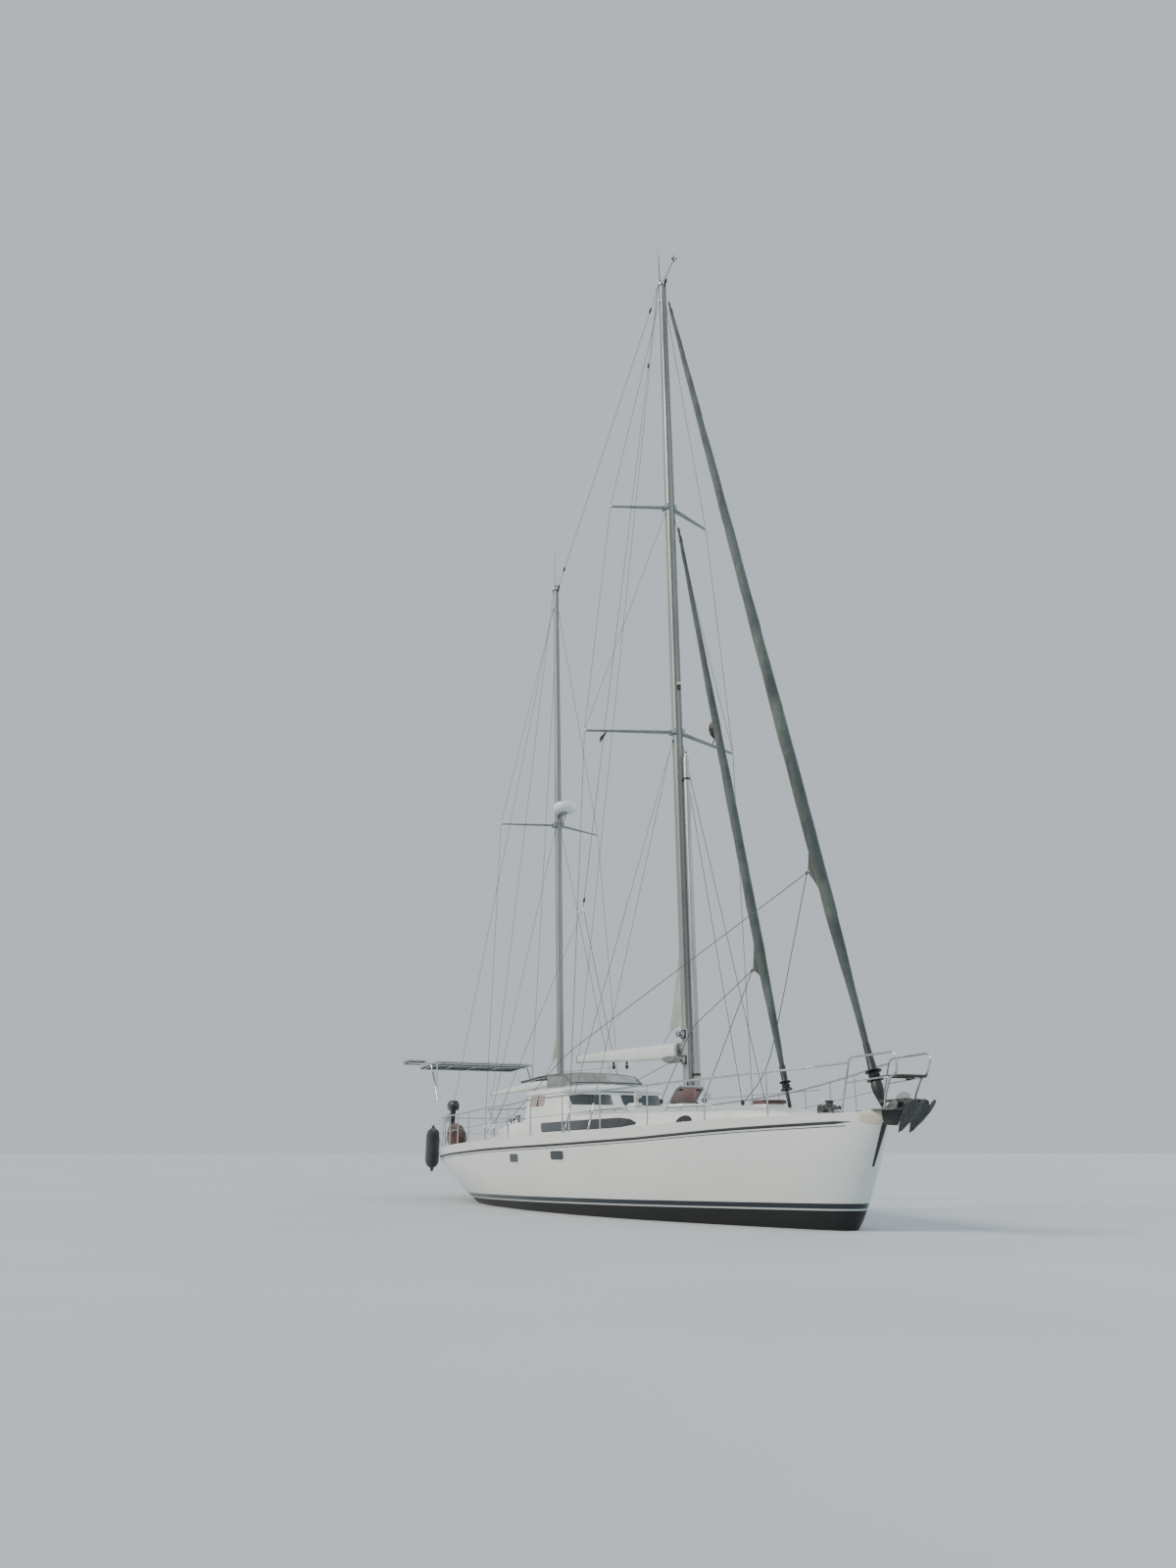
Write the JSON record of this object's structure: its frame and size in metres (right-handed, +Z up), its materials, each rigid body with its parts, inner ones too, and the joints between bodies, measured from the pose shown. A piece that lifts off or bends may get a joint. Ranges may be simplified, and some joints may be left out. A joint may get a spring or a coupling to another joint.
{
  "type": "sailing yacht",
  "caption": "Ketch-rigged centre-cockpit cruising yacht, afloat, sails rolled on their stays and in the masts, with solid guard rails, hard shelter and solar arch.",
  "frame": {"origin": "amidships on the centreline at the waterline", "axes": "+X to the bow, +Y to port, +Z up"},
  "size_m": [17.94, 4.2646, 22.3001],
  "materials": {
    "gelcoat": "polished white gelcoat",
    "strake_rubber": "dark rubbing strake",
    "antifouling": "matt bottom paint",
    "bronze": "cast and machined bronze",
    "smoked_acrylic": "dark acrylic",
    "screen_glass": "toughened glass",
    "hatch_acrylic": "tinted acrylic",
    "brown_canvas": "woven acrylic canvas",
    "grey_canvas": "woven acrylic canvas",
    "fender_rubber": "fabric-covered fender",
    "sailcloth": "dark ultraviolet strip of woven sailcloth",
    "stainless": "polished stainless steel",
    "spar_aluminium": "painted and anodised spar",
    "boom_paint": "white spar paint",
    "galvanised": "hot-dip galvanised",
    "solar_glass": "dark cells under glass",
    "motor_plastic": "black cowling"
  },
  "bodies": {
    "boat": {"hull": "gelcoat", "coachroof": "gelcoat", "aft_cabin": "gelcoat", "shelter": "gelcoat", "steering_pedestal": "gelcoat", "radar_dome": "gelcoat", "rub_strake_port": "strake_rubber", "rub_strake_starboard": "strake_rubber", "keel": "antifouling", "skeg": "antifouling", "shaft_strut": "bronze", "cabin_window_port": "smoked_acrylic", "cabin_window_starboard": "smoked_acrylic", "screen_pane_port": "screen_glass", "screen_pane_starboard": "screen_glass", "side_pane_port": "screen_glass", "side_pane_starboard": "screen_glass", "stern_cover": "brown_canvas", "canopy": "grey_canvas", "fender": "fender_rubber", "genoa_roll": "sailcloth", "staysail_roll": "sailcloth", "mainsail_clew": "sailcloth", "mizzen_clew": "sailcloth", "pulpit": "stainless", "guard_rail_port": "stainless", "guard_rail_starboard": "stainless", "pushpit": "stainless", "stern_arch": "stainless", "stem_fitting": "stainless", "genoa_furler": "stainless", "staysail_furler": "stainless", "main_shrouds_port": "stainless", "main_shrouds_starboard": "stainless", "mizzen_shrouds_port": "stainless", "mizzen_shrouds_starboard": "stainless", "main_backstay": "stainless", "triatic_stay": "stainless", "main_mast": "spar_aluminium", "mizzen_mast": "spar_aluminium", "whisker_pole": "spar_aluminium", "anchor_port": "galvanised", "anchor_starboard": "galvanised", "windlass": "galvanised", "solar_panel_main": "solar_glass", "solar_panel_side": "solar_glass", "outboard_motor": "motor_plastic"},
    "rudder": {"rudder": "antifouling"},
    "propeller": {"propeller": "bronze"},
    "steering_wheel": {"steering_wheel": "stainless"},
    "main_boom": {"main_boom": "boom_paint"},
    "mizzen_boom": {"mizzen_boom": "boom_paint"},
    "fore_hatch": {"fore_hatch": "brown_canvas"},
    "mid_hatch": {"mid_hatch": "hatch_acrylic"},
    "aft_hatch": {"aft_hatch": "smoked_acrylic"},
    "lazarette_lid": {"lazarette_lid": "gelcoat"},
    "companionway_door": {"companionway_door": "smoked_acrylic"}
  },
  "joints": [
    {"name": "rudder_turn", "type": "hinge", "parent": "boat", "child": "rudder", "pos_m": [-5.56, 0, -1], "axis": [0, 0, 1], "range_deg": [-35, 35]},
    {"name": "wheel_turn", "type": "hinge", "parent": "boat", "child": "steering_wheel", "pos_m": [-2.76, 0, 1.54], "axis": [1, 0, 0], "range_deg": [-525, 525]},
    {"name": "propeller_spin", "type": "hinge", "parent": "boat", "child": "propeller", "pos_m": [-4.43, 0, -0.993], "axis": [0.968, 0, 0.251], "continuous": true},
    {"name": "main_boom_swing", "type": "hinge", "parent": "boat", "child": "main_boom", "pos_m": [1.651, 0, 2.75], "axis": [0, 0, 1], "range_deg": [-60, 60]},
    {"name": "mizzen_boom_swing", "type": "hinge", "parent": "boat", "child": "mizzen_boom", "pos_m": [-3.9043, 0, 2.48], "axis": [0, 0, 1], "range_deg": [-80, 69]},
    {"name": "fore_hatch_hinge", "type": "hinge", "parent": "boat", "child": "fore_hatch", "pos_m": [4.16, 0, 1.731], "axis": [0, -1, 0], "range_deg": [0, 95]},
    {"name": "mid_hatch_hinge", "type": "hinge", "parent": "boat", "child": "mid_hatch", "pos_m": [2.12, -0.3, 1.798], "axis": [0, -1, 0], "range_deg": [-38, 50]},
    {"name": "aft_hatch_hinge", "type": "hinge", "parent": "boat", "child": "aft_hatch", "pos_m": [-5.3, 0, 1.458], "axis": [0, -1, 0], "range_deg": [0, 95]},
    {"name": "lazarette_hinge", "type": "hinge", "parent": "boat", "child": "lazarette_lid", "pos_m": [-7.45, 0, 1.121], "axis": [0, -1, 0], "range_deg": [0, 90]},
    {"name": "companionway_hinge", "type": "hinge", "parent": "boat", "child": "companionway_door", "pos_m": [-1.466, -0.28, 1.1], "axis": [0, 0, 1], "range_deg": [0, 90]}
  ],
  "couplings": [
    {"joint": "wheel_turn", "follows": "rudder_turn", "ratio": 15}
  ]
}
